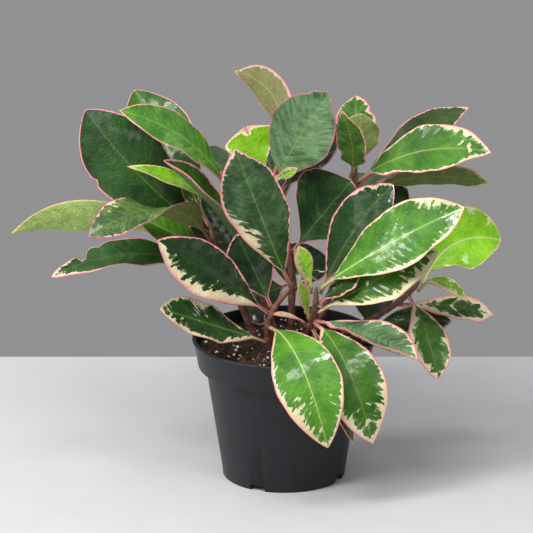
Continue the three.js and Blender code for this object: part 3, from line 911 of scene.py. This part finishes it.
def leaf_skin(name, deep, fresh, grey, pale, below):
    """The skin of every leaf of one tone: green flesh, pale midrib, cream margin, pink rim, waxy face."""
    skin, wire, feed = new_material(name, **WAXY)
    blade = wire.attribute("blade", "Vector")
    margin = wire.attribute("margin")
    vein = wire.attribute("vein")
    rib = wire.attribute("rib")
    under = wire.attribute("under")
    cream = wire.attribute("cream")
    shade, blush, pale_share = wire.attribute("look", "Vector").split()
    flush, sage, _unused = wire.attribute("flush", "Vector").split()

    broad = blade.noise(42, 3, 0.5)
    ragged = blade.noise(130, 5, 0.62)
    fine = blade.noise(900, 3, 0.6)
    streak_place = wire.node("CombineXYZ", None, {"X": vein * 0.9, "Y": rib * 0.02, "Z": shade * 7})
    streaks = streak_place.noise(3.2, 4, 0.6)

    flesh = (broad * 0.8 + streaks * 0.4 + fine * 0.25 - 0.22).step(0.22, 0.8).blend(deep, fresh)
    # sage greys the flesh: the grey-green tone of some leaves, and on leaf_top_1 a painted sheen
    flesh = ((broad + streaks - 1) * 1.1 + sage).step(0.2, 1.05).blend(flesh, grey)
    midrib = (1 - rib.step(0.15, 0.8)) * pale_share * (0.5 + ragged * 0.7)
    glow = (1 - rib.step(0.0, 6.0)) * pale_share * 0.12
    flesh = glow.blend(flesh, pale)
    flesh = midrib.blend(flesh, pale)
    # shade scales the colour of the face here and of the underside below: each leaf's own tone, and also
    # painted shade on the dark back leaves and a painted sheen on leaf_top_1
    shaded = wire.node("CombineColor", None, {0: shade, 1: shade, 2: shade})
    flesh = flesh.tinted(shaded)

    teeth_place = wire.node("CombineXYZ", None, {"X": vein, "Y": margin * 0.05, "Z": shade * 3})
    teeth = teeth_place.noise(2.1, 2, 0.5)
    jag = (ragged - 0.5) * 2.8 + (teeth - 0.5) * 3.4 + 1.1
    width = cream * jag.at_least(0.12) + 0.2
    beyond = width - margin
    sage_zone = (beyond + 0.5 + cream * 0.6).step(-0.5, 0.5) * teeth.step(0.4, 0.6) * cream.step(0.8, 2.5)
    flesh = (sage_zone * 0.7).blend(flesh, grey)
    cream_colour = (broad * 0.7 + fine * 0.3).step(0.3, 0.7).blend(CREAM_DEEP, CREAM_LIGHT)
    pinkish = (1 - margin.step(0.3, 4.5)) * blush.step(0.15, 0.65) * 0.85
    cream_colour = pinkish.blend(cream_colour, CREAM_PINK)
    top = beyond.step(-0.15, 0.2).blend(flesh, cream_colour)
    dashes = (cream * 4.0 - margin).step(0.0, 2.0) * teeth.step(0.6, 0.66) * cream.step(1.0, 2.5)
    top = (dashes * 0.8).blend(top, cream_colour)

    mottle = (streaks * 0.6 + ragged * 0.6).step(0.35, 0.8)
    bottom = mottle.blend(below, grey).tinted(shaded)
    bottom = (flush * (0.4 + ragged)).step(0.1, 1.0).blend(bottom, FLUSH_PURPLE)
    bottom = ((1 - rib.step(0.5, 1.6)) * 0.5).blend(bottom, pale)
    bottom = (beyond.step(-0.4, 0.5) * 0.7).blend(bottom, CREAM_BELOW)
    body = under.blend(top, bottom)

    tan_to_pink = blush.step(0.1, 0.5).blend(RIM_TAN, RIM_PINK)
    rim_colour = blush.step(0.6, 0.95).blend(tan_to_pink, RIM_PURPLE)
    rim_width = 0.2 + ragged * 0.9 + blush * 0.45
    feed("Base Color", (1 - (margin - rim_width).step(-0.25, 0.25)).blend(body, rim_colour))
    feed("Roughness", 0.36 + under * 0.16 + (fine - 0.5) * 0.12 + (broad - 0.5) * 0.12)
    feed("Coat Weight", (1 - under) * (0.12 + ragged.step(0.42, 0.6) * 0.75))
    cells = blade.noise(420, 2, 0.5)
    relief = fine * 0.35 + cells * 0.7 + ragged * 1.5 + broad * 1.9
    feed("Normal", relief.bump(0.75, 0.001))
    return skin


skins = {slot: leaf_skin(slot.replace("leaf", "skin"), **tones) for slot, tones in greens.items()}
slots = {s["node"]: s["material_slot"] for s in frame["record"]["subparts"]}
for number, node in enumerate(leaf_nodes):
    corners, faces, values = grow_leaf(node, looks.get(node, {}), number)
    slot = slots[node]
    make_piece(node.replace("leaf_", "blade_"), corners, faces, skins[slot], [node], values)


# ---- Stage, light and camera ----
# A plain pale table whose far edge is straight against a grey wall, soft light from the left, the front and
# above, and a long lens that looks slightly down.
FLOOR_BACK = 0.28
FLOOR_SIDE = 1.6
TABLE_THICKNESS = 0.02
AIM = Vector((-0.0145, 0, 0.181))
ELEVATION = math.radians(19.6)
DISTANCE = 12.0
FIELD = 0.4403

table_mesh = bpy.data.meshes.new("table")
table_outline = (
    (-FLOOR_SIDE, -FLOOR_SIDE), (FLOOR_SIDE, -FLOOR_SIDE), (FLOOR_SIDE, FLOOR_BACK), (-FLOOR_SIDE, FLOOR_BACK)
)
table_corners = [(x, y, z) for z in (-TABLE_THICKNESS, 0) for x, y in table_outline]
table_faces = [(3, 2, 1, 0), (4, 5, 6, 7), (0, 1, 5, 4), (1, 2, 6, 5), (2, 3, 7, 6), (3, 0, 4, 7)]
table_mesh.from_pydata(table_corners, [], table_faces)
table = bpy.data.objects.new("table", table_mesh)
bpy.context.scene.collection.objects.link(table)
table_top, wire, feed = new_material("table_top", Specular_IOR_Level=0.3)
where = wire.place()
cloudy = where.noise(14, 5, 0.6)
feed("Base Color", cloudy.blend((0.52, 0.52, 0.52), (0.6, 0.6, 0.596)))
feed("Roughness", 0.55 + cloudy * 0.2)
table_mesh.materials.append(table_top)

world = bpy.data.worlds.new("studio")
bpy.context.scene.world = world
world.use_nodes = True
tree = world.node_tree
wall = Wire(tree)
background = tree.nodes["Background"]
_across, _along, height = wall.node("TexCoord", output="Generated").split()
rising = height.step(-0.2, 0.9)
lit = rising.blend((0.14, 0.14, 0.145), (0.55, 0.57, 0.6))
seen = wall.node("LightPath").blend(lit, (0.285, 0.285, 0.29))
tree.links.new(seen.socket, background.inputs["Color"])
background.inputs["Strength"].default_value = 1.0


def softbox(name, place, aim, size, watts, colour=(1, 1, 1)):
    lamp = bpy.data.lights.new(name, "AREA")
    lamp.shape = "RECTANGLE"
    lamp.size, lamp.size_y = size
    lamp.energy = watts
    lamp.color = colour
    made = bpy.data.objects.new(name, lamp)
    made.location = place
    made.rotation_euler = (Vector(aim) - Vector(place)).to_track_quat("-Z", "Y").to_euler()
    bpy.context.scene.collection.objects.link(made)


middle_plant = (0, 0, 0.2)
softbox("key", (-1.2, -1.1, 1.8), middle_plant, (0.6, 0.6), 30)
softbox("overhead", (-0.1, -0.8, 1.7), middle_plant, (1.1, 0.5), 15)
softbox("side", (-1.7, -0.55, 0.9), middle_plant, (0.6, 0.6), 14)
softbox("fill", (-0.4, -2.0, 1.0), middle_plant, (0.9, 0.9), 4)

lens = bpy.data.cameras.new("long_lens")
lens.sensor_width = 36
lens.lens = 36 * DISTANCE / FIELD
lens.clip_end = 60
camera = bpy.data.objects.new("long_lens", lens)
camera.location = AIM + DISTANCE * Vector((0, -math.cos(ELEVATION), math.sin(ELEVATION)))
camera.rotation_euler = (AIM - camera.location).to_track_quat("-Z", "Y").to_euler()
bpy.context.scene.collection.objects.link(camera)
bpy.context.scene.camera = camera
bpy.context.scene.view_settings.view_transform = "Standard"
